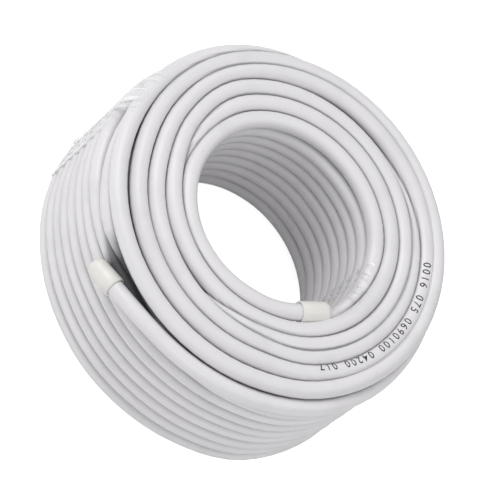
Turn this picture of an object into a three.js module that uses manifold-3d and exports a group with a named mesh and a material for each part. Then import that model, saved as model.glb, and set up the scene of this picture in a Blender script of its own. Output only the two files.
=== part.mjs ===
// Coil of round coaxial cable with an end cap on each cable end and clear film bands.
// Millimetres, +Z up. The coil stands on one flat end, with its axis upright.
// The origin is the middle of its footprint, on the floor.
import * as THREE from 'three';
import { mergeVertices } from 'three/addons/utils/BufferGeometryUtils.js';
import Module from 'manifold-3d';

// Cable and winding
const CABLE_DIAMETER = 6.9;
const ROWS = 10;
const ROW_PITCH = 6.95;
const LAYERS = 5;
const LAYER_PITCH = 6.73;
const BORE_ROWS_MISSING = 1;
const BORE_RADIUS = 37.75;
const OVAL = 0.033;

// Facets of the turned coil
const TURN_SEGMENTS = 32;
const FACE_FLAT_ANGLE = 20;
const GROOVE_ANGLE = 58;

// End caps
const CAP_WALL = 0.6;
const CAP_LENGTH = 13.6;
const CAP_DOME = 3;
const CAP_DEPTH = 9.5;
const CAP_SEGMENTS = 20;

// Cable ends
const TUBE_SIDES = 10;
const TUBE_STEPS = 18;

// Film bands
const BAND_WIDTH = 27;
const BAND_THICKNESS = 0.3;
const BAND_CORNER = 2.5;
const BAND_AZIMUTHS = { front_film_band: 12, back_film_band: 192 };

// Clearance between pieces that touch on the real coil
const CLEARANCE = 0.3;

const CABLE_RADIUS = CABLE_DIAMETER / 2;
const COIL_HEIGHT = (ROWS - 1) * ROW_PITCH + CABLE_DIAMETER;
const INNER_LAYER_RADIUS = BORE_RADIUS + CABLE_RADIUS;
const OUTER_LAYER_RADIUS = INNER_LAYER_RADIUS + (LAYERS - 1) * LAYER_PITCH;
const WALL_RADIUS = OUTER_LAYER_RADIUS + CABLE_RADIUS;
const CAP_BORE_RADIUS = CABLE_RADIUS + CLEARANCE;
const CAP_RADIUS = CAP_BORE_RADIUS + CAP_WALL;

const wasm = await Module();
wasm.setup();

const radians = THREE.MathUtils.degToRad;

// A closed three.js mesh as a manifold-3d solid
function toSolid(geometry) {
  const bare = geometry.index ? geometry.toNonIndexed() : geometry.clone();
  bare.deleteAttribute('normal');
  bare.deleteAttribute('uv');
  const merged = mergeVertices(bare, 1e-4);
  const corners = merged.index.array;
  const triangles = [];
  for (let i = 0; i < corners.length; i += 3) {
    const [a, b, c] = [corners[i], corners[i + 1], corners[i + 2]];
    if (a !== b && b !== c && c !== a) triangles.push(a, b, c);
  }
  return new wasm.Manifold(new wasm.Mesh({
    numProp: 3,
    vertProperties: new Float32Array(merged.attributes.position.array),
    triVerts: new Uint32Array(triangles),
  }));
}

// A manifold-3d solid as a three.js mesh geometry
function toGeometry(solid) {
  const mesh = solid.getMesh();
  const geometry = new THREE.BufferGeometry();
  geometry.setAttribute('position', new THREE.BufferAttribute(mesh.vertProperties, 3));
  geometry.setIndex(new THREE.BufferAttribute(mesh.triVerts, 1));
  geometry.computeVertexNormals();
  return geometry;
}

// A turned shape about Z that follows the coil's slightly oval plan, from a clockwise section
function turned(points) {
  const profile = [...points, points[0].clone()].reverse();
  const geometry = new THREE.LatheGeometry(profile, TURN_SEGMENTS);
  geometry.rotateX(Math.PI / 2);
  geometry.scale(1 + OVAL, 1 - OVAL, 1);
  return geometry;
}

// One point beside the coil, from its azimuth in degrees, true radius and depth below the top
function beside(azimuth, radius, depth) {
  const angle = radians(azimuth);
  return new THREE.Vector3(radius * Math.cos(angle), radius * Math.sin(angle), COIL_HEIGHT - depth);
}

// The true radius of an oval layer at an azimuth
function ovalRadius(radius, azimuth) {
  const angle = radians(azimuth);
  return radius * Math.hypot((1 + OVAL) * Math.cos(angle), (1 - OVAL) * Math.sin(angle));
}

// Outline points round one turn's section, from one angle down to another
function crest(centre, angles) {
  return angles.map(([degrees, reach]) => new THREE.Vector2(
    centre.x + reach * Math.cos(radians(degrees)),
    centre.y + reach * Math.sin(radians(degrees)),
  ));
}

// The coil's section: one crest for each turn that shows on the ends, the outside and the bore.
// The layer round the bore ends above the floor, because its lowest turns are missing.
function coilSection() {
  const flat = CABLE_RADIUS / Math.cos(radians(FACE_FLAT_ANGLE));
  const r = CABLE_RADIUS;
  const face = (middle) => [
    [middle + GROOVE_ANGLE, r],
    [middle + FACE_FLAT_ANGLE, flat],
    [middle - FACE_FLAT_ANGLE, flat],
    [middle - GROOVE_ANGLE, r],
  ];
  const wall = (middle) => [[middle + GROOVE_ANGLE, r], [middle, r], [middle - GROOVE_ANGLE, r]];
  const layerRadius = (layer) => INNER_LAYER_RADIUS + layer * LAYER_PITCH;
  const rowHeight = (row) => CABLE_RADIUS + row * ROW_PITCH;
  const cell = (layer, row) => new THREE.Vector2(layerRadius(layer), rowHeight(row));
  const [lastLayer, lastRow] = [LAYERS - 1, ROWS - 1];
  const points = [];
  points.push(...crest(cell(0, lastRow), [[238, r], [180, r], [140, r], ...face(90).slice(1)]));
  for (let layer = 1; layer < lastLayer; layer += 1) {
    points.push(...crest(cell(layer, lastRow), face(90)));
  }
  points.push(...crest(cell(lastLayer, lastRow), [...face(90).slice(0, 3), [40, r], [0, r], [-GROOVE_ANGLE, r]]));
  for (let row = lastRow - 1; row > 0; row -= 1) {
    points.push(...crest(cell(lastLayer, row), wall(0)));
  }
  points.push(...crest(cell(lastLayer, 0), [[GROOVE_ANGLE, r], [0, r], [-40, r], ...face(-90).slice(1)]));
  for (let layer = lastLayer - 1; layer > 1; layer -= 1) {
    points.push(...crest(cell(layer, 0), face(-90)));
  }
  const rim = [...face(-90).slice(0, 3), [-140, r], [-180, r]];
  points.push(...crest(cell(1, 0), [...rim, [-200, r]]));
  for (let row = 1; row < BORE_ROWS_MISSING; row += 1) {
    points.push(...crest(cell(1, row), [[-160, r], [-200, r]]));
  }
  points.push(...crest(cell(0, BORE_ROWS_MISSING), [...rim, [-180 - GROOVE_ANGLE, r]]));
  for (let row = BORE_ROWS_MISSING + 1; row < lastRow; row += 1) {
    points.push(...crest(cell(0, row), wall(180)));
  }
  return points;
}

// A round cable along a smooth route that ends in a straight stretch for its cap
function cableEnd(route, straight) {
  const last = route[route.length - 1];
  const way = straight.clone().normalize();
  const end = last.clone().addScaledVector(way, CAP_DEPTH - CLEARANCE);
  const middle = last.clone().addScaledVector(way, (CAP_DEPTH - CLEARANCE) / 2);
  const path = new THREE.CatmullRomCurve3([...route, middle, end], false, 'centripetal');
  const section = new THREE.Shape();
  for (let side = 0; side < TUBE_SIDES; side += 1) {
    const angle = (2 * Math.PI * side) / TUBE_SIDES;
    const [x, y] = [CABLE_RADIUS * Math.cos(angle), CABLE_RADIUS * Math.sin(angle)];
    if (side === 0) section.moveTo(x, y);
    else section.lineTo(x, y);
  }
  section.closePath();
  const tube = new THREE.ExtrudeGeometry(section, { steps: TUBE_STEPS, bevelEnabled: false, extrudePath: path });
  return { tube, mouth: last, way };
}

// A shape turned about its own Y axis, set with its foot at a mouth and its tip along a way
function alongEnd(geometry, { mouth, way }) {
  const turn = new THREE.Quaternion().setFromUnitVectors(new THREE.Vector3(0, 1, 0), way);
  geometry.applyQuaternion(turn);
  geometry.translate(mouth.x, mouth.y, mouth.z);
  return toSolid(geometry);
}

// The room that an end cap takes in the winding
function capRoom(end) {
  const length = CAP_LENGTH + 2 * CLEARANCE;
  const room = new THREE.CylinderGeometry(CAP_RADIUS + CLEARANCE, CAP_RADIUS + CLEARANCE, length, CAP_SEGMENTS);
  room.translate(0, CAP_LENGTH / 2, 0);
  return alongEnd(room, end);
}

// A moulded end cap: a sleeve with a domed closed tip, placed with its mouth on the cable
function capGeometry(end) {
  const shoulder = CAP_LENGTH - CAP_DOME;
  const domeSteps = 4;
  const points = [new THREE.Vector2(0, CAP_DEPTH), new THREE.Vector2(CAP_BORE_RADIUS, CAP_DEPTH)];
  points.push(new THREE.Vector2(CAP_BORE_RADIUS, 0), new THREE.Vector2(CAP_RADIUS, 0));
  for (let step = 0; step <= domeSteps; step += 1) {
    const angle = (Math.PI / 2) * (step / domeSteps);
    const radius = step === domeSteps ? 0 : CAP_RADIUS * Math.cos(angle);
    points.push(new THREE.Vector2(radius, shoulder + CAP_DOME * Math.sin(angle)));
  }
  return toGeometry(alongEnd(new THREE.LatheGeometry(points, CAP_SEGMENTS), end));
}

// The outside of the coil's section as a rounded rectangle, a given distance off the crests
function wrapSection(offset) {
  const [inside, outside] = [BORE_RADIUS - offset, WALL_RADIUS + offset];
  const [low, high] = [-offset, COIL_HEIGHT + offset];
  const corner = BAND_CORNER;
  const cornerSteps = 2;
  const centres = [
    [inside + corner, high - corner, 180],
    [outside - corner, high - corner, 90],
    [outside - corner, low + corner, 0],
    [inside + corner, low + corner, -90],
  ];
  const points = [];
  for (const [x, y, start] of centres) {
    for (let step = 0; step <= cornerSteps; step += 1) {
      const angle = radians(start - (90 * step) / cornerSteps);
      points.push(new THREE.Vector2(x + corner * Math.cos(angle), y + corner * Math.sin(angle)));
    }
  }
  return points;
}

// A film band: the wrapped shell cut to the band's width across one side of the coil
function bandGeometry(azimuth) {
  const skin = toSolid(turned(wrapSection(CLEARANCE + BAND_THICKNESS)));
  const hollow = toSolid(turned(wrapSection(CLEARANCE)));
  const reach = 2 * WALL_RADIUS;
  const cutter = new THREE.BoxGeometry(reach, BAND_WIDTH, 2 * COIL_HEIGHT);
  cutter.translate(reach / 2, 0, COIL_HEIGHT / 2);
  cutter.rotateZ(radians(azimuth));
  return toGeometry(skin.subtract(hollow).intersect(toSolid(cutter)));
}

function finish(color, roughness, metalness = 0) {
  return new THREE.MeshStandardMaterial({ color, roughness, metalness });
}

// The outer end leaves the second row from the top and lies slanting over the outside of the coil
const OUTER_LIFT = CABLE_RADIUS + CAP_RADIUS + CLEARANCE;
const outerStop = (azimuth, lift, drop) => beside(
  azimuth,
  ovalRadius(OUTER_LAYER_RADIUS, azimuth) + lift,
  CABLE_RADIUS + ROW_PITCH + drop,
);
const outerMouth = outerStop(-104.5, OUTER_LIFT, 3.1);
const outerEnd = cableEnd([
  outerStop(-40, 0, 0),
  outerStop(-52, 0.6, 0),
  outerStop(-65, 2.2, 0.1),
  outerStop(-78, 4.4, 0.5),
  outerStop(-92, OUTER_LIFT - 0.9, 1.4),
  outerMouth,
], outerStop(-115, OUTER_LIFT + 1.2, 5.9).sub(outerMouth));

// The inner end lies against the top turn of the bore, which gives way round its cap
const INNER_INSET = 5.4;
const innerStop = (azimuth, inset, drop) => beside(
  azimuth,
  ovalRadius(INNER_LAYER_RADIUS, azimuth) - inset,
  CABLE_RADIUS + drop,
);
const innerMouth = innerStop(-31, INNER_INSET, 0.5);
const innerEnd = cableEnd([
  innerStop(-128, 0, 0),
  innerStop(-112, 0.5, 0),
  innerStop(-92, 1.9, 0.1),
  innerStop(-72, 3.6, 0.2),
  innerStop(-51, 4.8, 0.4),
  innerMouth,
], innerStop(-10.5, INNER_INSET - 2.4, 0.7).sub(innerMouth));

const winding = toSolid(turned(coilSection())).subtract(capRoom(outerEnd)).subtract(capRoom(innerEnd));
const coil = winding.add(toSolid(outerEnd.tube)).add(toSolid(innerEnd.tube));

const jacket = finish(0xe4e2e5, 0.45);
const cap = finish(0xe6e4dc, 0.4);
const film = finish(0xf2f4f5, 0.1);

const model = new THREE.Group();
const pieces = {
  cable_coil: [toGeometry(coil), jacket],
  outer_end_cap: [capGeometry(outerEnd), cap],
  inner_end_cap: [capGeometry(innerEnd), cap],
};
for (const [name, azimuth] of Object.entries(BAND_AZIMUTHS)) {
  pieces[name] = [bandGeometry(azimuth), film];
}
for (const [name, [geometry, material]] of Object.entries(pieces)) {
  const mesh = new THREE.Mesh(geometry, material.clone());
  mesh.name = name;
  model.add(mesh);
}

const footprint = new THREE.Box3().setFromObject(model);
const middle = footprint.getCenter(new THREE.Vector3());
model.position.set(-middle.x, -middle.y, -footprint.min.z);
model.updateMatrixWorld(true);

export default model;
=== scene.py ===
"""Dressed scene of a coil of white coaxial cable, its end caps, its film bands and its printed marks.

Lengths are metres in the row frame, unless a name says millimetres (mm). A place beside the coil is
an azimuth in degrees from +X, a true radius from the coil's axis and a depth below the coil's top.
"""

from __future__ import annotations

import logging
import math
from dataclasses import dataclass, field
from enum import Enum

import bmesh
import bpy
from mathutils import Matrix, Quaternion, Vector, kdtree, noise

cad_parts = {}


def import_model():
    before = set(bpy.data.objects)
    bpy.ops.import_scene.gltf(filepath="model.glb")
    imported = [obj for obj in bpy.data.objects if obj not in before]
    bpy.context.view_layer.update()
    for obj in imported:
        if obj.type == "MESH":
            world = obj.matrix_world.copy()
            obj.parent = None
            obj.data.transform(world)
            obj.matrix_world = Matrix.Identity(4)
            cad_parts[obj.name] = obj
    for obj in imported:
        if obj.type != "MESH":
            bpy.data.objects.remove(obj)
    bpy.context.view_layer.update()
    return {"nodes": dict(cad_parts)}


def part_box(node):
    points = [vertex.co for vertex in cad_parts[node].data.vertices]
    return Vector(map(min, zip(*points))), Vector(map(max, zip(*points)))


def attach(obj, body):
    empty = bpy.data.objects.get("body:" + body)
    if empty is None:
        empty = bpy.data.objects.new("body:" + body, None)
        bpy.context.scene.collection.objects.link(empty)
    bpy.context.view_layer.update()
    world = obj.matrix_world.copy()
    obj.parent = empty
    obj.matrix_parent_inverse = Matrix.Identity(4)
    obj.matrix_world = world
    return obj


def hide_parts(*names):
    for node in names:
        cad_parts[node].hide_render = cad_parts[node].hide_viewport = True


LOG = logging.getLogger("coil_scene")
MM = 0.001

# Driving sizes of the coil in millimetres, as in the part's source
CABLE_DIAMETER = 6.9
ROWS = 10
ROW_PITCH = 6.95
LAYERS = 5
LAYER_PITCH = 6.73
BORE_RADIUS = 37.75
OVAL = 0.033
CAP_LENGTH = 13.6
CAP_RADIUS = 4.35
CAP_DEPTH = 9.5

CABLE_RADIUS = CABLE_DIAMETER / 2
COIL_HEIGHT = (ROWS - 1) * ROW_PITCH + CABLE_DIAMETER
INNER_LAYER_RADIUS = BORE_RADIUS + CABLE_RADIUS
OUTER_LAYER_RADIUS = INNER_LAYER_RADIUS + (LAYERS - 1) * LAYER_PITCH
WALL_RADIUS = OUTER_LAYER_RADIUS + CABLE_RADIUS
TOP_ROW_DEPTH = CABLE_RADIUS

# How far the outer wall stands proud of the oval, in millimetres, and the azimuth and width of each place
LEFT_SLACK = 3.1
SLACK_LOST_A_ROW = 0.25
LEFT_PLACE = (-158.0, 42.0)
FRONT_SLACK = 1.3
FRONT_PLACE = (-85.0, 35.0)
RIGHT_SLACK = 2.2
RIGHT_PLACE = (-25.0, 32.0)
TAIL_DIP = 5.5
LOWER_TAIL_DIP = 2.0
TAIL_PLACE = (-93.0, 17.0)

# Azimuth, radius and depth of both ends of each cap's axis
OUTER_MOUTH = (-104.5, 74.2, 13.45)
OUTER_TIP = (-116.6, 77.0, 19.6)
INNER_MOUTH = (-31.0, 36.4, 3.95)
INNER_TIP = (-10.5, 39.4, 4.15)


def smooth(share: float) -> float:
    """Ease a share between 0 and 1, flat at both ends."""
    share = min(max(share, 0.0), 1.0)
    return share * share * (3.0 - 2.0 * share)


def rise(value: float, start: float, width: float) -> float:
    """Return how far a value has gone from a start over a width, eased between 0 and 1."""
    return smooth((value - start) / width)


def ripple(seed: float, place: float) -> float:
    """Return smooth noise between about -1 and 1 for a seed at a place along a line."""
    return noise.noise(Vector((place, seed * 7.31, seed * 1.7)))


def oval_factor(azimuth: float) -> float:
    """Return how far the coil's oval plan stands from its mean radius at an azimuth, as a factor."""
    angle = math.radians(azimuth)
    return math.hypot((1 + OVAL) * math.cos(angle), (1 - OVAL) * math.sin(angle))


def hump(azimuth: float, middle: float, width: float) -> float:
    """Return a smooth hump of height 1 over an azimuth, once round the coil."""
    away = (azimuth - middle + 180.0) % 360.0 - 180.0
    return math.exp(-((away / width) ** 2))


def wall_bulge(azimuth: float, row: float) -> float:
    """Return how far the outer wall stands proud of the oval.

    Args:
        azimuth: The azimuth in degrees.
        row: The row, from 1 at the top.

    Returns:
        The distance in mm. The rows under the cable's tail are pressed in.
    """
    left = (LEFT_SLACK - SLACK_LOST_A_ROW * (row - 2)) * hump(azimuth, *LEFT_PLACE)
    front = FRONT_SLACK * hump(azimuth, *FRONT_PLACE)
    right = RIGHT_SLACK * hump(azimuth, *RIGHT_PLACE)
    dip = 0.0
    if row < 4:
        dip = (TAIL_DIP if row < 3 else LOWER_TAIL_DIP) * hump(azimuth, *TAIL_PLACE)
    return left + front + right - dip


@dataclass(frozen=True)
class CoilSpace:
    """The coil's place in the row frame: its axis and its top, in metres."""

    axis_x: float
    axis_y: float
    top: float

    @classmethod
    def from_frame(cls) -> "CoilSpace":
        """Read the coil's place from the box of its CAD node.

        Returns:
            The coil's axis and top.
        """
        low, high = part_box("cable_coil")
        axis_y = high[1] - WALL_RADIUS * (1 - OVAL) * MM
        return cls((low[0] + high[0]) / 2, axis_y, high[2])

    def point(self, azimuth: float, radius: float, depth: float) -> Vector:
        """Return a point in metres from an azimuth, a true radius in mm and a depth in mm."""
        angle = math.radians(azimuth)
        x = self.axis_x + radius * MM * math.cos(angle)
        y = self.axis_y + radius * MM * math.sin(angle)
        return Vector((x, y, self.top - depth * MM))

    def outward(self, point: Vector, way: Vector) -> Vector:
        """Return the direction away from the axis at a point, square to the cable's way there."""
        out = Vector((point.x - self.axis_x, point.y - self.axis_y, 0.0))
        return (out - way * out.dot(way)).normalized()

    def centre(self) -> Vector:
        """Return the middle of the coil on its axis."""
        return Vector((self.axis_x, self.axis_y, self.top - COIL_HEIGHT * MM / 2))


class Finish(Enum):
    """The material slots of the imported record."""

    JACKET = "jacket"
    CAP = "end_cap"
    FILM = "film"


class NodeTree:
    """A thin helper that adds and links shader nodes in one tree."""

    def __init__(self, tree: bpy.types.NodeTree) -> None:
        """Hold the tree that nodes are added to."""
        self.tree = tree

    def add(self, kind: str, **values: object) -> bpy.types.Node:
        """Add a node and set its properties.

        Args:
            kind: The node's Blender type name.
            values: Properties of the node, by name.

        Returns:
            The new node.
        """
        node = self.tree.nodes.new(kind)
        for name, value in values.items():
            setattr(node, name, value)
        return node

    def link(self, source: bpy.types.NodeSocket, target: bpy.types.NodeSocket) -> None:
        """Link an output socket to an input socket."""
        self.tree.links.new(source, target)

    def math(self, operation: str, *values: object, clamp: bool = False) -> bpy.types.NodeSocket:
        """Add a Math node.

        Args:
            operation: The Math node's operation.
            values: A socket or a number for each input, in order.
            clamp: Whether the result is kept between 0 and 1.

        Returns:
            The node's output socket.
        """
        node = self.add("ShaderNodeMath", operation=operation, use_clamp=clamp)
        for slot, value in zip(node.inputs, values):
            if isinstance(value, bpy.types.NodeSocket):
                self.link(value, slot)
            else:
                slot.default_value = value
        return node.outputs[0]

    def noise(self, vector: bpy.types.NodeSocket, scale: float, detail: float = 3.0) -> bpy.types.NodeSocket:
        """Add a noise texture and return its factor output."""
        node = self.add("ShaderNodeTexNoise")
        node.inputs["Scale"].default_value = scale
        node.inputs["Detail"].default_value = detail
        self.link(vector, node.inputs["Vector"])
        return node.outputs[0]

    def stretch(
        self, vector: bpy.types.NodeSocket, scale: tuple[float, float, float]
    ) -> bpy.types.NodeSocket:
        """Scale a coordinate along its axes with a Mapping node and return the result."""
        node = self.add("ShaderNodeMapping")
        node.inputs["Scale"].default_value = scale
        self.link(vector, node.inputs["Vector"])
        return node.outputs[0]

    def remap(
        self, value: bpy.types.NodeSocket, start: tuple[float, float], end: tuple[float, float]
    ) -> bpy.types.NodeSocket:
        """Map one range of a value to another, clamped.

        Args:
            value: The socket to map.
            start: The lowest and highest value that come in.
            end: The values that they become.

        Returns:
            The mapped value.
        """
        node = self.add("ShaderNodeMapRange")
        for name, number in zip(("From Min", "From Max", "To Min", "To Max"), (*start, *end)):
            node.inputs[name].default_value = number
        self.link(value, node.inputs["Value"])
        return node.outputs[0]

    def blend(self, factor: bpy.types.NodeSocket, low: object, high: object) -> bpy.types.NodeSocket:
        """Mix two colours by a factor.

        Args:
            factor: The socket that picks between the colours.
            low: The colour, or its socket, at factor 0.
            high: The colour, or its socket, at factor 1.

        Returns:
            The mixed colour.
        """
        node = self.add("ShaderNodeMix", data_type="RGBA")
        self.link(factor, node.inputs["Factor"])
        for slot, value in ((node.inputs[6], low), (node.inputs[7], high)):
            if isinstance(value, bpy.types.NodeSocket):
                self.link(value, slot)
            else:
                slot.default_value = (*value, 1.0)
        return node.outputs[2]

    def relief(
        self, height: bpy.types.NodeSocket, shader: bpy.types.Node, strength: float, distance: float
    ) -> None:
        """Feed a height to a shader's normal through a Bump node.

        Args:
            height: The height.
            shader: The shader.
            strength: The Bump node's strength.
            distance: How far the full height stands out, in metres.
        """
        bump = self.add("ShaderNodeBump")
        bump.inputs["Strength"].default_value = strength
        bump.inputs["Distance"].default_value = distance
        self.link(height, bump.inputs["Height"])
        self.link(bump.outputs[0], shader.inputs["Normal"])


def start_material(name: str) -> tuple[bpy.types.Material, NodeTree, bpy.types.Node]:
    """Make a material with its Principled shader.

    Args:
        name: The material's name.

    Returns:
        The material, a helper on its nodes, and its Principled shader.
    """
    made = bpy.data.materials.new(name)
    made.use_nodes = True
    return made, NodeTree(made.node_tree), made.node_tree.nodes["Principled BSDF"]


def moulded_grain_group() -> bpy.types.NodeTree:
    """Build the shader group of fine plastic grain and handling marks.

    Returns:
        The group. It takes a vector, and gives a height and a mask of marks.
    """
    name = "moulded_grain"
    if name in bpy.data.node_groups:
        return bpy.data.node_groups[name]
    tree = bpy.data.node_groups.new(name, "ShaderNodeTree")
    tree.interface.new_socket("Vector", in_out="INPUT", socket_type="NodeSocketVector")
    for output in ("Height", "Marks"):
        tree.interface.new_socket(output, in_out="OUTPUT", socket_type="NodeSocketFloat")
    nodes = NodeTree(tree)
    vector = nodes.add("NodeGroupInput").outputs["Vector"]
    target = nodes.add("NodeGroupOutput")
    grain = nodes.noise(vector, 2600.0, 2.0)
    orange_peel = nodes.noise(vector, 420.0, 3.0)
    height = nodes.math("ADD", nodes.math("MULTIPLY", grain, 0.35), orange_peel)
    nodes.link(height, target.inputs["Height"])
    patches = nodes.noise(vector, 70.0, 4.0)
    nodes.link(nodes.remap(patches, (0.52, 0.72), (0.0, 1.0)), target.inputs["Marks"])
    return tree


@dataclass(frozen=True)
class PlasticFinish:
    """A satin plastic with fine grain and faint marks."""

    name: str = "cap_plastic"
    colour: tuple[float, float, float] = (0.80, 0.79, 0.75)
    marked: tuple[float, float, float] = (0.74, 0.72, 0.67)
    mark_strength: float = 0.6
    mark_roughness: float = 0.1
    roughness: float = 0.4
    bump: float = 0.3
    bump_distance: float = 0.0002

    def material(self) -> bpy.types.Material:
        """Build the plastic on Object coordinates.

        Returns:
            The material.
        """
        made, nodes, shader = start_material(self.name)
        place = nodes.add("ShaderNodeTexCoord").outputs["Object"]
        grain = nodes.add("ShaderNodeGroup", node_tree=moulded_grain_group())
        nodes.link(place, grain.inputs["Vector"])
        faint = nodes.math("MULTIPLY", grain.outputs["Marks"], self.mark_strength)
        nodes.link(nodes.blend(faint, self.colour, self.marked), shader.inputs["Base Color"])
        rough = nodes.math("MULTIPLY_ADD", grain.outputs["Marks"], self.mark_roughness, self.roughness)
        nodes.link(rough, shader.inputs["Roughness"])
        nodes.relief(grain.outputs["Height"], shader, self.bump, self.bump_distance)
        return made


@dataclass(frozen=True)
class JacketFinish:
    """The drawn PVC jacket: satin white, with streaks along the cable, faint handling marks and painted
    shade in its grooves and gaps.
    """

    name: str = "jacket_pvc"
    colour: tuple[float, float, float] = (0.79, 0.775, 0.795)
    marked: tuple[float, float, float] = (0.70, 0.69, 0.70)
    # Colour of the painted shade in the grooves and gaps
    groove_shade: tuple[float, float, float] = (0.10, 0.10, 0.11)
    roughness: float = 0.36
    streak_roughness: float = 0.12
    streak_scale: tuple[float, float, float] = (60.0, 2600.0, 1.0)
    shade_scale: tuple[float, float, float] = (9.0, 180.0, 1.0)
    mark_strength: float = 0.45
    shade_strength: float = 0.5
    bump: float = 0.22
    bump_distance: float = 0.00015

    def material(self) -> bpy.types.Material:
        """Build the jacket on the cable's own UV map, with U along it and V round it, in metres.

        Returns:
            The material.
        """
        made, nodes, shader = start_material(self.name)
        along = nodes.add("ShaderNodeUVMap", uv_map="along").outputs["UV"]
        grain = nodes.add("ShaderNodeGroup", node_tree=moulded_grain_group())
        nodes.link(nodes.add("ShaderNodeTexCoord").outputs["Object"], grain.inputs["Vector"])
        streaks = nodes.noise(nodes.stretch(along, self.streak_scale), 1.0, 3.0)
        shade = nodes.noise(nodes.stretch(along, self.shade_scale), 1.0, 2.0)
        worn = nodes.math("MULTIPLY", grain.outputs["Marks"], self.mark_strength)
        uneven = nodes.remap(shade, (0.45, 0.7), (0.0, self.shade_strength))
        toned = nodes.math("ADD", worn, uneven, clamp=True)
        jacket = nodes.blend(toned, self.colour, self.marked)
        # Painted shade: a vertex attribute blends the jacket towards the dark shade colour in grooves and
        # gaps
        crevice_shade = nodes.add("ShaderNodeAttribute", attribute_name="crevice_shade").outputs["Fac"]
        grooved = nodes.blend(crevice_shade, jacket, self.groove_shade)
        nodes.link(grooved, shader.inputs["Base Color"])
        rough = nodes.math("MULTIPLY_ADD", streaks, self.streak_roughness, self.roughness)
        nodes.link(rough, shader.inputs["Roughness"])
        height = nodes.math("ADD", nodes.math("MULTIPLY", streaks, 0.8), grain.outputs["Height"])
        nodes.relief(height, shader, self.bump, self.bump_distance)
        return made


@dataclass(frozen=True)
class FilmFinish:
    """Clear stretch film: gloss, a painted sheen where it is seen along its face, and painted highlights as
    white streaks on its creases.
    """

    name: str = "stretch_film"
    clear: float = 0.02
    # Alpha of the painted sheen seen edge-on, and of the painted highlights on the creases
    grazing_sheen: float = 0.3
    crease_highlight: float = 0.75
    colour: tuple[float, float, float] = (0.95, 0.95, 0.96)
    roughness: float = 0.1
    specular: float = 0.9
    crease_scale: tuple[float, float, float] = (13.0, 460.0, 1.0)
    patch_scale: float = 240.0
    facing_blend: float = 0.25
    bump: float = 0.5
    bump_distance: float = 0.0003

    def material(self) -> bpy.types.Material:
        """Build the film on Object coordinates, its own UV map and its slack.

        Returns:
            The material.
        """
        made, nodes, shader = start_material(self.name)
        shader.inputs["Base Color"].default_value = (*self.colour, 1.0)
        shader.inputs["Roughness"].default_value = self.roughness
        shader.inputs["Specular IOR Level"].default_value = self.specular
        place = nodes.add("ShaderNodeTexCoord").outputs["Object"]
        wrap = nodes.add("ShaderNodeUVMap", uv_map="wrap").outputs["UV"]
        creases = nodes.noise(nodes.stretch(wrap, self.crease_scale), 1.0, 3.0)
        fine = nodes.noise(place, self.patch_scale, 3.0)
        # Painted sheen: more of the white film shows where it is seen edge-on, in patches
        facing = nodes.add("ShaderNodeLayerWeight")
        facing.inputs["Blend"].default_value = self.facing_blend
        edge = nodes.remap(facing.outputs["Facing"], (0.2, 1.0), (self.clear, self.grazing_sheen))
        patchy_sheen = nodes.math("MULTIPLY", edge, nodes.remap(fine, (0.35, 0.7), (0.6, 1.4)))
        slack = nodes.add("ShaderNodeAttribute", attribute_name="slack").outputs["Fac"]
        # Painted highlights: white streaks on the creases where the film is loose
        white = nodes.remap(creases, (0.48, 0.62), (0.0, self.crease_highlight))
        streaks = nodes.math("MULTIPLY", white, slack)
        nodes.link(nodes.math("ADD", patchy_sheen, streaks, clamp=True), shader.inputs["Alpha"])
        nodes.relief(creases, shader, self.bump, self.bump_distance)
        return made


@dataclass(frozen=True)
class InkFinish:
    """Matt black ink, a little uneven."""

    name: str = "print_ink"
    dark: tuple[float, float, float] = (0.008, 0.008, 0.01)
    worn: tuple[float, float, float] = (0.05, 0.05, 0.055)
    roughness: float = 0.6

    def material(self) -> bpy.types.Material:
        """Build the ink on Object coordinates.

        Returns:
            The material.
        """
        made, nodes, shader = start_material(self.name)
        place = nodes.add("ShaderNodeTexCoord").outputs["Object"]
        mottle = nodes.remap(nodes.noise(place, 1500.0, 2.0), (0.35, 0.7), (0.0, 1.0))
        nodes.link(nodes.blend(mottle, self.dark, self.worn), shader.inputs["Base Color"])
        shader.inputs["Roughness"].default_value = self.roughness
        return made


@dataclass(frozen=True)
class Stop:
    """A place that the cable passes: an unrolled azimuth in degrees, a true radius and a depth in mm."""

    azimuth: float
    radius: float
    depth: float = TOP_ROW_DEPTH


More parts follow.
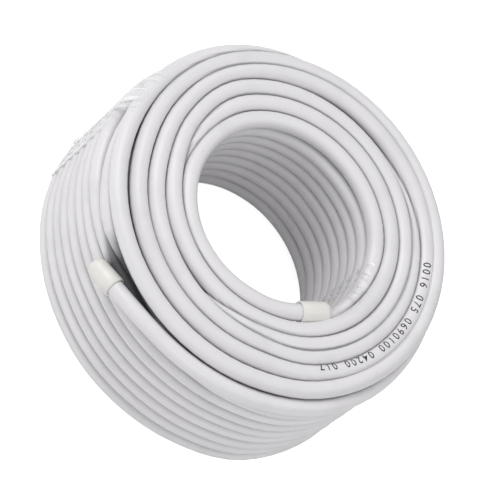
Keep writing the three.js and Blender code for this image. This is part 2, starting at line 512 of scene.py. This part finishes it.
@dataclass(frozen=True)
class CreviceShade:
    """The painted shade on the cable in its grooves and gaps, deep in the bore and behind the tail.

    A pair of numbers is where a change starts and how wide it is, in mm of radius or depth, or the
    azimuth and width of a place.
    """

    space: CoilSpace
    groove_width: float = 0.95
    # Strength of the painted shade in the grooves of the wall and of the top face
    wall_groove_shade: float = 0.95
    face_groove_shade: float = 0.78
    face_edge: tuple[float, float] = (3.0, 3.0)
    pressed: float = 0.75
    pressed_place: tuple[float, float] = (35.0, 75.0)
    pressed_from: tuple[float, float] = (61.0, 3.0)
    wall_shade: float = 0.34
    shade_width: float = 2.6
    gap_inner: tuple[float, float] = (44.0, 2.0)
    gap_outer: tuple[float, float] = (62.5, 1.5)
    gap_depth: tuple[float, float] = (5.4, 1.6)
    bore_shade: float = 0.1
    bore_edge: tuple[float, float] = (40.0, 3.0)
    bore_depth: tuple[float, float] = (4.0, 14.0)
    tail_strength: float = 2.0
    tail_place: tuple[float, float] = (-93.0, 24.0)
    tail_inner: tuple[float, float] = (58.0, 4.0)
    tail_outer: tuple[float, float] = (70.0, 1.5)
    tail_top: tuple[float, float] = (4.8, 1.4)
    tail_bottom: tuple[float, float] = (17.0, 3.0)

    def darkness(self, place: Vector, gap: float) -> float:
        """Return the painted shade at a spot on the cable, from 0 to 1.

        Args:
            place: The spot, in metres.
            gap: The gap between it and the nearest other turn, in mm.

        Returns:
            The painted shade, strongest in the grooves of the top face and in the gaps that open under it.
        """
        x, y = place.x - self.space.axis_x, place.y - self.space.axis_y
        azimuth = math.degrees(math.atan2(y, x))
        radius = math.hypot(x, y) / MM
        depth = (self.space.top - place.z) / MM
        on_face = 1.0 - rise(depth, *self.face_edge)
        pressed = self.pressed * hump(azimuth, *self.pressed_place) * rise(radius, *self.pressed_from)
        # Painted shade in the grooves, less where the turns are pressed together, and on the shaded sides of
        # the wall's turns
        strength = self.wall_groove_shade + (self.face_groove_shade - self.wall_groove_shade) * on_face
        groove_shade = strength * (1.0 - pressed * on_face) * (1.0 - smooth(gap / self.groove_width))
        shaded_side = self.wall_shade * (1.0 - on_face) * (1.0 - smooth(gap / self.shade_width))
        # Painted shade in the gaps under the top face, deep in the bore and in the gap behind the tail
        under_face = rise(radius, *self.gap_inner) * (1.0 - rise(radius, *self.gap_outer))
        sunk = under_face * rise(depth, *self.gap_depth)
        in_bore = self.bore_shade * (1.0 - rise(radius, *self.bore_edge)) * rise(depth, *self.bore_depth)
        behind_tail = hump(azimuth, *self.tail_place) * rise(depth, *self.tail_top)
        behind_tail *= rise(radius, *self.tail_inner) * (1.0 - rise(radius, *self.tail_outer))
        behind_tail *= 1.0 - rise(depth, *self.tail_bottom)
        return max(groove_shade, shaded_side, sunk, in_bore, min(1.0, self.tail_strength * behind_tail))


@dataclass
class WoundCable:
    """The whole cable, from the end inside the bore to the end over the outside of the coil."""

    space: CoilSpace
    step: float = 5.0
    sides: int = 24
    crossing_start: float = 53.0
    crossing_width: float = 84.0
    overrun: float = 8.0
    unevenness: float = 0.28
    lift_share: float = 0.6
    sway_length: float = 55.0
    lift_length: float = 70.0
    stop_spacing: float = 24.0
    stops: list[Stop] = field(default_factory=list)
    centreline: list[Vector] = field(default_factory=list)
    unrolled: list[float] = field(default_factory=list)

    def follow(self, chain: list[tuple[float, ...]]) -> None:
        """Add a chain of visible stops, shifted by whole turns to follow the last one.

        Args:
            chain: Azimuth, radius and, where it isn't the top row's, depth of each stop.
        """
        first = chain[0][0]
        shift = 0.0
        if self.stops:
            turns = math.floor((self.stops[-1].azimuth - first) / 360.0)
            shift = 360.0 * turns
        for azimuth, *rest in chain:
            self.stops.append(Stop(azimuth + shift, *rest))

    def row_depth(self, row: int) -> float:
        """Return the depth of a row's middle, where row 1 is the top one."""
        return CABLE_RADIUS + (row - 1) * ROW_PITCH

    def wind(self, layer: int, rows: list[int], last: float = 0.0) -> None:
        """Wind one layer row by row. The cable crosses to each new row in the crossing sector.

        Args:
            layer: The layer, from 1 at the bore to LAYERS at the outside.
            rows: The rows in the order they are wound.
            last: How far the last row runs beyond its crossing, in degrees short of a full turn.
        """
        radius = INNER_LAYER_RADIUS + (layer - 1) * LAYER_PITCH
        turns = math.floor((self.stops[-1].azimuth - 0.1 - self.crossing_start) / 360.0)
        start = self.crossing_start + 360.0 * turns
        for number, row in enumerate(rows):
            begin = start - 360.0 * number - self.crossing_width
            end = start - 360.0 * (number + 1) + self.overrun
            if number == len(rows) - 1:
                end += last
            depth = self.row_depth(row)
            azimuth = begin
            while azimuth > end:
                seed = layer * 20.0 + row
                sway = self.unevenness * ripple(seed, azimuth / self.sway_length)
                lift = self.unevenness * self.lift_share * ripple(seed + 0.5, azimuth / self.lift_length)
                true_radius = radius * oval_factor(azimuth) + sway
                if layer == LAYERS:
                    true_radius += wall_bulge(azimuth, row)
                self.stops.append(Stop(azimuth, true_radius, depth + lift))
                azimuth -= self.stop_spacing

    def lay_out(self) -> None:
        """List every stop of the winding, from the inner cap to the outer cap."""
        rows_down = list(range(2, ROWS + 1))
        rows_up = rows_down[::-1]
        bore_rows = rows_down[:-1]
        inner_end = [
            (-22.0, 37.6, 4.1), (-31.0, 36.4, 3.95), (-51.0, 36.1, 3.85), (-64.0, 35.9, 3.7),
        ]
        bore_strand = [
            (-92.0, 36.9, 3.6), (-120.0, 38.6), (-148.0, 40.2), (-178.0, 41.5), (-206.0, 42.4),
            (-260.0, 41.5), (-300.0, 41.1),
        ]
        self.follow(inner_end + bore_strand)
        self.wind(1, bore_rows)
        self.wind(2, rows_up, last=120.0)
        second_strand = [
            (-130.0, 44.6, 9.0), (-150.0, 44.0, 7.0), (-178.0, 46.4, 4.4), (-206.0, 49.2),
            (-256.0, 48.7), (-307.0, 47.8), (-350.0, 46.0), (-390.0, 44.3), (-421.0, 42.9),
        ]
        third_strand = [
            (-465.0, 43.7), (-508.0, 47.1), (-537.0, 51.8), (-566.0, 55.6), (-616.0, 54.7),
            (-667.0, 53.7), (-710.0, 52.4), (-750.0, 50.2),
        ]
        third_sinks = [(-785.0, 47.6, 4.6), (-815.0, 50.6, 8.0), (-845.0, 53.6, 10.4), (-930.0, 54.7, 10.4)]
        self.follow(second_strand + third_strand + third_sinks)
        self.wind(3, rows_down)
        self.wind(4, list(range(ROWS, 2, -1)))
        self.follow([(-60.0, 64.6, 24.0), (-150.0, 64.8, 45.0), (-240.0, 65.5, 60.0)])
        self.wind(5, rows_up, last=150.0)
        under_face = [
            (-190.0, 68.0, 10.4), (-215.0, 65.5, 10.4), (-240.0, 62.4, 10.4), (-285.0, 60.5, 10.4),
            (-390.0, 60.6, 10.4), (-480.0, 60.8, 10.4), (-560.0, 61.2, 10.4), (-605.0, 60.8, 9.8),
            (-632.0, 59.4, 8.0), (-652.0, 58.2, 5.6), (-672.0, 57.6, 4.2),
        ]
        fourth_strand = [
            (-708.0, 57.0), (-750.0, 55.5), (-778.0, 52.6), (-820.0, 51.9), (-868.0, 54.0),
            (-897.0, 58.0), (-926.0, 62.1), (-976.0, 63.4), (-1027.0, 63.2),
        ]
        fifth_strand = [
            (-1070.0, 62.8), (-1110.0, 61.5), (-1136.0, 59.2), (-1180.0, 59.3), (-1228.0, 61.4),
            (-1257.0, 64.6), (-1286.0, 67.1), (-1336.0, 68.0), (-1387.0, 67.9), (-1430.0, 67.9),
        ]
        outer_strand = [
            (-1470.0, 68.0), (-1494.0, 67.1), (-1540.0, 67.6), (-1588.0, 69.6), (-1622.0, 71.0, 4.4),
            (-1646.0, 71.2, 5.6), (-1700.0, 68.9, 9.0), (-1747.0, 68.8, 10.2), (-1780.0, 69.8, 9.8),
        ]
        tail = [
            (-1810.0, 72.0, 8.6), (-1830.0, 73.4, 7.4), (-1860.0, 73.3, 7.4), (-1876.0, 73.1, 8.0),
            (-1889.0, 73.0, 9.2), (-1898.0, 73.5, 11.2), (-1904.5, 74.2, 13.45), (-1908.0, 75.0, 15.2),
            (-1911.0, 75.7, 16.8),
        ]
        self.follow(under_face + fourth_strand + fifth_strand + outer_strand + tail)

    def trace(self) -> None:
        """Turn the stops into a smooth centreline, evenly stepped in azimuth."""
        stops = self.stops
        slopes = [(0.0, 0.0)]
        for before, here, after in zip(stops, stops[1:], stops[2:]):
            slopes.append(tuple(self.slope(before, here, after, kind) for kind in ("radius", "depth")))
        slopes.append((0.0, 0.0))
        for number, (start, end) in enumerate(zip(stops, stops[1:])):
            span = start.azimuth - end.azimuth
            count = max(1, round(span / self.step))
            for part in range(count):
                share = part / count
                leaving, arriving = slopes[number], slopes[number + 1]
                radius = self.between(start.radius, end.radius, leaving[0], arriving[0], span, share)
                depth = self.between(start.depth, end.depth, leaving[1], arriving[1], span, share)
                self.add(start.azimuth - span * share, radius, depth)
        self.add(stops[-1].azimuth, stops[-1].radius, stops[-1].depth)

    def slope(self, before: Stop, here: Stop, after: Stop, kind: str) -> float:
        """Return the change a degree of a stop's radius or depth, kept from overshooting.

        Args:
            before: The stop before.
            here: The stop that the slope is for.
            after: The stop after.
            kind: Which of the stop's values it is.

        Returns:
            The slope.
        """
        first = (getattr(here, kind) - getattr(before, kind)) / (before.azimuth - here.azimuth)
        second = (getattr(after, kind) - getattr(here, kind)) / (here.azimuth - after.azimuth)
        if first * second <= 0:
            return 0.0
        return 2 * first * second / (first + second)

    def between(
        self, start: float, end: float, leaving: float, arriving: float, span: float, share: float
    ) -> float:
        """Return the value at a share of the way between two stops, on a smooth cubic.

        Args:
            start: The value at the first stop.
            end: The value at the second stop.
            leaving: The slope at the first stop.
            arriving: The slope at the second stop.
            span: The degrees between the stops.
            share: The share of the way.

        Returns:
            The value.
        """
        rest = 1 - share
        ease = share * share * (3 - 2 * share)
        swing = share * rest * (leaving * rest - arriving * share) * span
        return start + (end - start) * ease + swing

    def add(self, azimuth: float, radius: float, depth: float) -> None:
        """Add one point of the centreline."""
        self.unrolled.append(azimuth)
        self.centreline.append(self.space.point(azimuth, radius, depth))

    def length(self) -> float:
        """Return the cable's length in metres."""
        return sum((b - a).length for a, b in zip(self.centreline, self.centreline[1:]))

    def build(self) -> bpy.types.Object:
        """Sweep the cable's round section along its centreline.

        Returns:
            The cable.
        """
        self.lay_out()
        self.trace()
        mesh = bmesh.new()
        along = mesh.loops.layers.uv.new("along")
        # Vertex attribute that carries the painted shade in the grooves and gaps
        crevice_shade = mesh.verts.layers.float.new("crevice_shade")
        rings, runs = self.place_rings(mesh)
        self.paint_crevice_shade(rings, crevice_shade)
        self.skin(mesh, rings, runs, along)
        bmesh.ops.recalc_face_normals(mesh, faces=mesh.faces)
        return finished("wound_cable", mesh, JacketFinish().material())

    def place_rings(self, mesh: bmesh.types.BMesh) -> tuple[list[list[bmesh.types.BMVert]], list[float]]:
        """Place a ring of vertices round each point of the centreline.

        Args:
            mesh: The mesh that takes them.

        Returns:
            The rings, and how far along the cable each one is, in metres.
        """
        points = self.centreline
        radius = CABLE_RADIUS * MM
        rings = []
        runs = []
        run = 0.0
        for number, point in enumerate(points):
            before = points[max(number - 1, 0)]
            after = points[min(number + 1, len(points) - 1)]
            way = (after - before).normalized()
            out = self.space.outward(point, way)
            up = way.cross(out)
            if number:
                run += (point - before).length
            ring = []
            for side in range(self.sides):
                angle = 2 * math.pi * side / self.sides
                offset = radius * (math.cos(angle) * out + math.sin(angle) * up)
                ring.append(mesh.verts.new(point + offset))
            rings.append(ring)
            runs.append(run)
        return rings, runs

    def skin(
        self,
        mesh: bmesh.types.BMesh,
        rings: list[list[bmesh.types.BMVert]],
        runs: list[float],
        along: bmesh.types.BMLayerItem,
    ) -> None:
        """Join the rings by faces and close both ends.

        Args:
            mesh: The mesh that takes the faces.
            rings: The rings of vertices.
            runs: How far along the cable each ring is, in metres.
            along: The UV layer, with U along the cable and V round it.
        """
        girth = 2 * math.pi * CABLE_RADIUS * MM
        for number in range(len(rings) - 1):
            for side in range(self.sides):
                following = (side + 1) % self.sides
                corners = [rings[number][side], rings[number][following],
                           rings[number + 1][following], rings[number + 1][side]]
                face = mesh.faces.new(corners)
                face.smooth = True
                places = ((number, side), (number, side + 1), (number + 1, side + 1), (number + 1, side))
                for loop, (ring, around) in zip(face.loops, places):
                    loop[along].uv = (runs[ring], girth * around / self.sides)
        mesh.faces.new(list(reversed(rings[0])))
        mesh.faces.new(rings[-1])

    def paint_crevice_shade(
        self, rings: list[list[bmesh.types.BMVert]], crevice_shade: bmesh.types.BMLayerItem
    ) -> None:
        """Write the painted shade of each vertex, as the attribute that darkens the grooves and gaps.

        Args:
            rings: The rings of vertices, one for each point of the centreline.
            crevice_shade: The mesh's layer for the attribute.
        """
        shade = CreviceShade(self.space)
        spread = 6
        dense = [a.lerp(b, part / spread)
                 for a, b in zip(self.centreline, self.centreline[1:]) for part in range(spread)]
        tree = kdtree.KDTree(len(dense))
        for index, point in enumerate(dense):
            tree.insert(point, index)
        tree.balance()
        radius = CABLE_RADIUS * MM
        reach = radius + shade.shade_width * MM
        half_turn = round(180.0 / self.step) * spread
        for number, ring in enumerate(rings):
            for vert in ring:
                near = [distance for _, index, distance in tree.find_range(vert.co, reach)
                        if abs(index - number * spread) > half_turn]
                gap = (min(near) - radius) / MM if near else shade.shade_width
                vert[crevice_shade] = shade.darkness(vert.co, gap)

    def at(self, azimuth: float) -> tuple[Vector, Vector, Vector]:
        """Return the cable's centre and directions at an unrolled azimuth.

        Args:
            azimuth: The unrolled azimuth in degrees.

        Returns:
            The centre, and the directions away from the axis and up.
        """
        number = 0
        while self.unrolled[number + 1] > azimuth:
            number += 1
        start, end = self.unrolled[number], self.unrolled[number + 1]
        share = (start - azimuth) / (start - end)
        here = self.centreline[number].lerp(self.centreline[number + 1], share)
        way = (self.centreline[number + 1] - self.centreline[number]).normalized()
        return here, self.space.outward(here, way), Vector((0.0, 0.0, 1.0))


def show(name: str, data: bpy.types.ID) -> bpy.types.Object:
    """Put a mesh, curve, light or camera into the scene as an object at the origin."""
    piece = bpy.data.objects.new(name, data)
    bpy.context.scene.collection.objects.link(piece)
    return piece


def finished(
    name: str, mesh: bmesh.types.BMesh, material: bpy.types.Material
) -> bpy.types.Object:
    """Turn a bmesh into an object at the origin that rides on the part.

    Args:
        name: The piece's name.
        mesh: The shape, in metres in the row frame.
        material: The finish.

    Returns:
        The object.
    """
    data = bpy.data.meshes.new(name)
    mesh.to_mesh(data)
    mesh.free()
    piece = show(name, data)
    data.materials.append(material)
    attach(piece, "root")
    return piece


@dataclass
class EndCap:
    """A push-on cap of soft moulded plastic, with a rolled mouth and a pinched tip."""

    name: str
    node: str
    mouth: Vector
    way: Vector
    pinch_axis: Vector
    pinch: float = 0.1
    clearance: float = 0.1
    lip: float = 0.25
    shoulder: float = 0.76
    taper: float = 0.99
    bluntness: float = 0.75
    dome_steps: int = 7
    sides: int = 36

    def build(self, material: bpy.types.Material) -> bpy.types.Object:
        """Spin the cap's wall and pinch its tip.

        Args:
            material: The cap's finish.

        Returns:
            The cap.
        """
        radius, length, depth = CAP_RADIUS * MM, CAP_LENGTH * MM, CAP_DEPTH * MM
        bore = (CABLE_RADIUS + self.clearance) * MM
        lip = self.lip * MM
        profile = [
            (0.0, depth), (bore, depth), (bore, lip), (bore + lip, 0.0), (radius - lip, 0.0), (radius, lip),
            (radius, length * 0.3), (radius * self.taper, length * self.shoulder),
        ]
        for step in range(1, self.dome_steps):
            angle = math.pi / 2 * step / self.dome_steps
            reach = radius * self.taper * math.cos(angle) ** self.bluntness
            profile.append((reach, length * (self.shoulder + (1 - self.shoulder) * math.sin(angle))))
        profile.append((0.0, length))
        mesh = bmesh.new()
        corners = [mesh.verts.new((x, 0.0, y)) for x, y in profile]
        edges = [mesh.edges.new(pair) for pair in zip(corners, corners[1:])]
        bmesh.ops.spin(mesh, geom=corners + edges, cent=(0, 0, 0), axis=(0, 0, 1), angle=2 * math.pi,
                       steps=self.sides, use_merge=True, use_duplicate=False)
        bmesh.ops.remove_doubles(mesh, verts=mesh.verts, dist=1e-7)
        for vert in mesh.verts:
            share = smooth((vert.co.z - length * 0.5) / (length * 0.5))
            vert.co.y *= 1 - self.pinch * share
        bmesh.ops.recalc_face_normals(mesh, faces=mesh.faces)
        side = (self.pinch_axis - self.way * self.pinch_axis.dot(self.way)).normalized()
        turn = Matrix((side.cross(self.way), side, self.way)).transposed()
        bmesh.ops.transform(mesh, matrix=Matrix.Translation(self.mouth) @ turn.to_4x4(), verts=mesh.verts)
        for face in mesh.faces:
            face.smooth = True
        piece = finished(self.name, mesh, material)
        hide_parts(self.node)
        return piece


@dataclass
class FilmBand:
    """A band of clear film wound round the coil's section, drawn over the crests of its turns."""

    name: str
    node: str
    space: CoilSpace
    azimuth: float
    width: float = 27.0
    stand_off: float = 0.35
    seed: float = 1.0
    loose_in_bore: float = 0.0
    loose_outside: float = 0.0
    sag: float = 0.22
    steps_across: int = 24
    steps_on_end: int = 24
    steps_on_wall: int = 54
    steps_in_corner: int = 6
    edge_wave: float = 0.08
    crease: float = 0.16
    loose_crease: float = 2.5

    def side(
        self,
        start: tuple[float, float],
        end: tuple[float, float],
        turns: int,
        steps: int,
        inward: tuple[float, float],
    ) -> list[tuple[float, float]]:
        """Return one straight side of the section, sagging between the turns under it.

        Args:
            start: The mean radius and depth of its first point, in mm.
            end: The mean radius and depth of its last point, in mm.
            turns: How many turns lie under it.
            steps: How many steps it has.
            inward: The direction towards the turns.

        Returns:
            Its points.
        """
        points = []
        for number in range(steps + 1):
            share = number / steps
            dip = self.sag * (1 - math.cos(2 * math.pi * share * (turns - 1))) / 2
            radius = start[0] + (end[0] - start[0]) * share + dip * inward[0]
            depth = start[1] + (end[1] - start[1]) * share + dip * inward[1]
            points.append((radius, depth))
        return points

    def corner(self, middle: tuple[float, float], start: float) -> list[tuple[float, float]]:
        """Return one rounded corner of the section.

        Args:
            middle: The mean radius and depth of the turn in the corner, in mm.
            start: The angle that the quarter turn starts at, in degrees.

        Returns:
            Its points, without the ends of the sides.
        """
        reach = CABLE_RADIUS + self.stand_off
        points = []
        for number in range(1, self.steps_in_corner):
            angle = math.radians(start) + math.pi / 2 * number / self.steps_in_corner
            points.append((middle[0] + reach * math.sin(angle), middle[1] - reach * math.cos(angle)))
        return points

    def outline(self) -> list[tuple[float, float]]:
        """Return the band's section as mean radius and depth in mm, once round."""
        reach = CABLE_RADIUS + self.stand_off
        inside, outside = INNER_LAYER_RADIUS, OUTER_LAYER_RADIUS
        top, bottom = CABLE_RADIUS, COIL_HEIGHT - CABLE_RADIUS
        end, wall = self.steps_on_end, self.steps_on_wall
        return [
            *self.side((inside, top - reach), (outside, top - reach), LAYERS, end, (0.0, 1.0)),
            *self.corner((outside, top), 0.0),
            *self.side((outside + reach, top), (outside + reach, bottom), ROWS, wall, (-1.0, 0.0)),
            *self.corner((outside, bottom), 90.0),
            *self.side((outside, bottom + reach), (inside, bottom + reach), LAYERS, end, (0.0, -1.0)),
            *self.corner((inside, bottom), 180.0),
            *self.side((inside - reach, bottom), (inside - reach, top), ROWS, wall, (1.0, 0.0)),
            *self.corner((inside, top), 270.0),
        ]

    def looseness(self, radius: float) -> float:
        """Return how loose the film is at a mean radius, from 0, taut, to 1, creased."""
        inside = 1.0 - rise(radius, BORE_RADIUS, 3.0)
        outside = rise(radius, OUTER_LAYER_RADIUS, CABLE_RADIUS)
        return self.loose_in_bore * inside + self.loose_outside * outside

    def place(self, along: float, share: float, radius: float, depth: float) -> Vector:
        """Return a point of the creased film.

        Args:
            along: How far round the section it is, from 0 to 40.
            share: How far across the band it is, from -0.5 to 0.5.
            radius: Its mean radius in mm.
            depth: Its depth in mm.

        Returns:
            The point in metres.
        """
        wavy_width = self.width * (1.0 + self.edge_wave * ripple(self.seed, along * 0.35))
        crease = self.crease * ripple(self.seed + 3, share * 11.0 + along * 0.12)
        true_radius = radius + crease * (1.0 + self.loose_crease * self.looseness(radius))
        if radius > OUTER_LAYER_RADIUS:
            row = 1 + (depth - CABLE_RADIUS) / ROW_PITCH
            bulge = max(0.0, wall_bulge(self.azimuth, max(row, 2.0)))
            true_radius += bulge * rise(depth, 1.0, 8.0)
        azimuth = self.azimuth + math.degrees(math.atan2(share * wavy_width, radius))
        return self.space.point(azimuth, true_radius * oval_factor(azimuth), depth)

    def build(self, material: bpy.types.Material) -> bpy.types.Object:
        """Build the film as a sheet round the coil's section, a row of faces for each step across.

        Args:
            material: The film's finish.

        Returns:
            The band.
        """
        mesh = bmesh.new()
        wrap = mesh.loops.layers.uv.new("wrap")
        slack = mesh.verts.layers.float.new("slack")
        outline = self.outline()
        count = len(outline)
        rows = []
        for step in range(self.steps_across + 1):
            share = step / self.steps_across - 0.5
            row = []
            for number, (radius, depth) in enumerate(outline):
                vert = mesh.verts.new(self.place(number / count * 40, share, radius, depth))
                vert[slack] = self.looseness(radius)
                row.append(vert)
            rows.append(row)
        lengths = [0.0]
        for start, end in zip(outline, outline[1:] + outline[:1]):
            lengths.append(lengths[-1] + math.hypot(end[0] - start[0], end[1] - start[1]) * MM)
        for step, (first, second) in enumerate(zip(rows, rows[1:])):
            near = step / self.steps_across * self.width * MM
            far = (step + 1) / self.steps_across * self.width * MM
            for number in range(count):
                following = (number + 1) % count
                face = mesh.faces.new((first[number], second[number], second[following], first[following]))
                face.smooth = True
                here, there = lengths[number], lengths[number + 1]
                for loop, spot in zip(face.loops, ((here, near), (here, far), (there, far), (there, near))):
                    loop[wrap].uv = spot
        bmesh.ops.recalc_face_normals(mesh, faces=mesh.faces)
        piece = finished(self.name, mesh, material)
        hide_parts(self.node)
        return piece


@dataclass
class PrintedMarks:
    """Plain numerals in ink along the cable."""

    cable: WoundCable
    text: str = "0016 075 0690100 04200 017"
    start: float = 41.6
    turn: int = 0
    height: float = 3.3
    pitch: float = 3.0
    stretch: float = 0.92
    weight: float = 0.006
    lean: float = -8.0
    lean_at_end: float = 22.0
    strand_radius: float = 62.8
    ink_thickness: float = 0.02
    font_height: float = 0.72

    def numeral(self, letter: str) -> bmesh.types.BMesh:
        """Draw one numeral flat, in small triangles that can follow the round cable.

        Args:
            letter: The numeral.

        Returns:
            Its mesh, with a line height of 1.
        """
        curve = bpy.data.curves.new("numeral", "FONT")
        curve.body = letter
        curve.size = 1.0
        curve.offset = self.weight
        curve.align_x = "CENTER"
        holder = show("numeral", curve)
        drawn = bpy.data.meshes.new_from_object(holder)
        glyph = bmesh.new()
        glyph.from_mesh(drawn)
        bpy.data.meshes.remove(drawn)
        bpy.data.objects.remove(holder)
        bpy.data.curves.remove(curve)
        bmesh.ops.triangulate(glyph, faces=glyph.faces)
        bmesh.ops.subdivide_edges(glyph, edges=glyph.edges, cuts=3, use_grid_fill=True)
        return glyph

    def seat(self, glyph: bmesh.types.BMesh, number: int) -> None:
        """Bend a flat numeral onto the surface of the cable.

        Args:
            glyph: The numeral's mesh.
            number: Its place in the line.
        """
        radius = CABLE_RADIUS + self.ink_thickness
        share = number / len(self.text)
        tilt = math.radians(self.lean - self.lean_at_end * share * share)
        scale = self.height / self.font_height
        for vert in glyph.verts:
            along = (number + 0.5) * self.pitch + vert.co.x * scale * self.stretch
            across = vert.co.y * scale - self.height / 2
            azimuth = self.start - 360.0 * self.turn - math.degrees(along / self.strand_radius)
            here, out, up = self.cable.at(azimuth)
            angle = across / radius + tilt
            vert.co = here + radius * MM * (math.sin(angle) * out + math.cos(angle) * up)

    def build(self) -> bpy.types.Object:
        """Set the numerals on the surface of the cable.

        Returns:
            The marks.
        """
        mesh = bmesh.new()
        for number, letter in enumerate(self.text):
            if letter == " ":
                continue
            glyph = self.numeral(letter)
            self.seat(glyph, number)
            seated = bpy.data.meshes.new("numeral")
            glyph.to_mesh(seated)
            glyph.free()
            mesh.from_mesh(seated)
            bpy.data.meshes.remove(seated)
        for face in mesh.faces:
            face.smooth = True
            if face.normal.z < 0:
                face.normal_flip()
        return finished("printed_marks", mesh, InkFinish().material())


@dataclass(frozen=True)
class Softbox:
    """A square area light: its place in metres from the coil's middle, its side and its watts."""

    name: str
    place: tuple[float, float, float]
    size: float
    power: float

    def build(self, target: Vector) -> bpy.types.Object:
        """Place the light so that it faces a target.

        Args:
            target: What it faces, in metres.

        Returns:
            The light.
        """
        data = bpy.data.lights.new(self.name, "AREA")
        data.shape = "SQUARE"
        data.size = self.size
        data.energy = self.power
        light = show(self.name, data)
        light.location = target + Vector(self.place)
        light.rotation_mode = "QUATERNION"
        light.rotation_quaternion = (-Vector(self.place)).to_track_quat("-Z", "Y")
        return light


@dataclass(frozen=True)
class Studio:
    """The floor, the lights and the camera at the photograph's viewing angle."""

    space: CoilSpace
    distance: float = 1.8
    elevation: float = 55.0
    roll: float = 52.3
    focal_pixels: float = 4640.0
    frame_pixels: float = 500.0
    middle_pixel: tuple[float, float] = (243.7, 251.1)
    sensor_width: float = 36.0
    floor_reach: float = 6.0
    floor_colour: tuple[float, float, float] = (0.95, 0.95, 0.95)
    floor_glow: float = 0.8
    surroundings: float = 0.45
    softboxes: tuple[Softbox, ...] = (
        Softbox("key_softbox", (-1.3, -0.1, 1.3), 0.9, 14.5),
        Softbox("fill_softbox", (0.3, -1.3, 1.5), 1.2, 8.0),
        Softbox("rim_softbox", (1.1, 0.3, 1.5), 0.9, 5.0),
    )

    def camera(self) -> bpy.types.Object:
        """Place the camera.

        Returns:
            The camera.
        """
        data = bpy.data.cameras.new("view_camera")
        data.sensor_width = self.sensor_width
        data.lens = data.sensor_width * self.focal_pixels / self.frame_pixels
        half = self.frame_pixels / 2
        data.shift_x = (half - self.middle_pixel[0]) / self.frame_pixels
        data.shift_y = (self.middle_pixel[1] - half) / self.frame_pixels
        data.clip_start = 0.05
        data.clip_end = 20.0
        camera = show("view_camera", data)
        climb = math.radians(self.elevation)
        offset = Vector((0.0, -math.cos(climb), math.sin(climb))) * self.distance
        camera.location = self.space.centre() + offset
        look = (-offset).to_track_quat("-Z", "Y")
        spin = Quaternion((0.0, 0.0, 1.0), math.radians(self.roll))
        camera.rotation_mode = "QUATERNION"
        camera.rotation_quaternion = look @ spin
        bpy.context.scene.camera = camera
        return camera

    def floor(self) -> bpy.types.Object:
        """Build the plain pale floor.

        Returns:
            The floor.
        """
        mesh = bmesh.new()
        bmesh.ops.create_grid(mesh, x_segments=1, y_segments=1, size=self.floor_reach)
        data = bpy.data.meshes.new("studio_floor")
        mesh.to_mesh(data)
        mesh.free()
        floor = show("studio_floor", data)
        data.materials.append(self.paint())
        return floor

    def paint(self) -> bpy.types.Material:
        """Build the floor's white, which looks paler than its light on the coil would make it.

        Returns:
            The material.
        """
        paint, nodes, shader = start_material("studio_white")
        shader.inputs["Base Color"].default_value = (*self.floor_colour, 1.0)
        shader.inputs["Roughness"].default_value = 0.9
        shader.inputs["Specular IOR Level"].default_value = 0.1
        shader.inputs["Emission Color"].default_value = (1.0, 1.0, 1.0, 1.0)
        seen = nodes.add("ShaderNodeLightPath").outputs["Is Camera Ray"]
        nodes.link(nodes.math("MULTIPLY", seen, self.floor_glow), shader.inputs["Emission Strength"])
        return paint

    def lights(self) -> None:
        """Place the soft lights and the pale surroundings."""
        for softbox in self.softboxes:
            softbox.build(self.space.centre())
        world = bpy.data.worlds.new("studio_world")
        bpy.context.scene.world = world
        world.use_nodes = True
        backdrop = world.node_tree.nodes["Background"]
        backdrop.inputs["Color"].default_value = (1.0, 1.0, 1.0, 1.0)
        backdrop.inputs["Strength"].default_value = self.surroundings
        bpy.context.scene.view_settings.view_transform = "Standard"


def build_caps(space: CoilSpace) -> list[bpy.types.Object]:
    """Build the cap on each end of the cable.

    Args:
        space: The coil's place.

    Returns:
        The outer cap, whose tip is pinched towards the wall, and the inner one, pinched from above.
    """
    material = PlasticFinish().material()
    outer_mouth, outer_tip = space.point(*OUTER_MOUTH), space.point(*OUTER_TIP)
    inner_mouth, inner_tip = space.point(*INNER_MOUTH), space.point(*INNER_TIP)
    outward = outer_mouth - space.point(OUTER_MOUTH[0], 0.0, OUTER_MOUTH[2])
    outer_way = (outer_tip - outer_mouth).normalized()
    inner_way = (inner_tip - inner_mouth).normalized()
    upward = Vector((0.0, 0.0, 1.0))
    return [
        EndCap("outer_cap", "outer_end_cap", outer_mouth, outer_way, outward).build(material),
        EndCap("inner_cap", "inner_end_cap", inner_mouth, inner_way, upward).build(material),
    ]


def build_film(space: CoilSpace) -> list[bpy.types.Object]:
    """Build both bands of film.

    Args:
        space: The coil's place.

    Returns:
        The front band, which is loose in the bore, and the back one, which is loose on the outside.
    """
    material = FilmFinish().material()
    front = FilmBand("front_film", "front_film_band", space, 12.0, seed=1.0,
                     loose_in_bore=1.0, loose_outside=0.3)
    back = FilmBand("back_film", "back_film_band", space, 192.0, seed=2.0,
                    loose_in_bore=0.3, loose_outside=1.0)
    return [front.build(material), back.build(material)]


def main() -> None:
    """Load the frame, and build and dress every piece."""
    logging.basicConfig(level=logging.INFO, format="%(message)s")
    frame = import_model()
    LOG.info("frame loaded, nodes: %s", ", ".join(sorted(frame["nodes"])))
    space = CoilSpace.from_frame()
    studio = Studio(space)
    studio.camera()
    cable = WoundCable(space)
    wound = cable.build()
    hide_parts("cable_coil")
    caps = build_caps(space)
    LOG.info("end caps: %s", ", ".join(piece.name for piece in caps))
    LOG.info("film bands: %s", ", ".join(piece.name for piece in build_film(space)))
    printed_turn = round((PrintedMarks.start - cable.stops[-1].azimuth) / 360.0) - 2
    LOG.info("printed marks: %s", PrintedMarks(cable, turn=printed_turn).build().name)
    studio.floor()
    studio.lights()


if __name__ == "__main__":
    main()
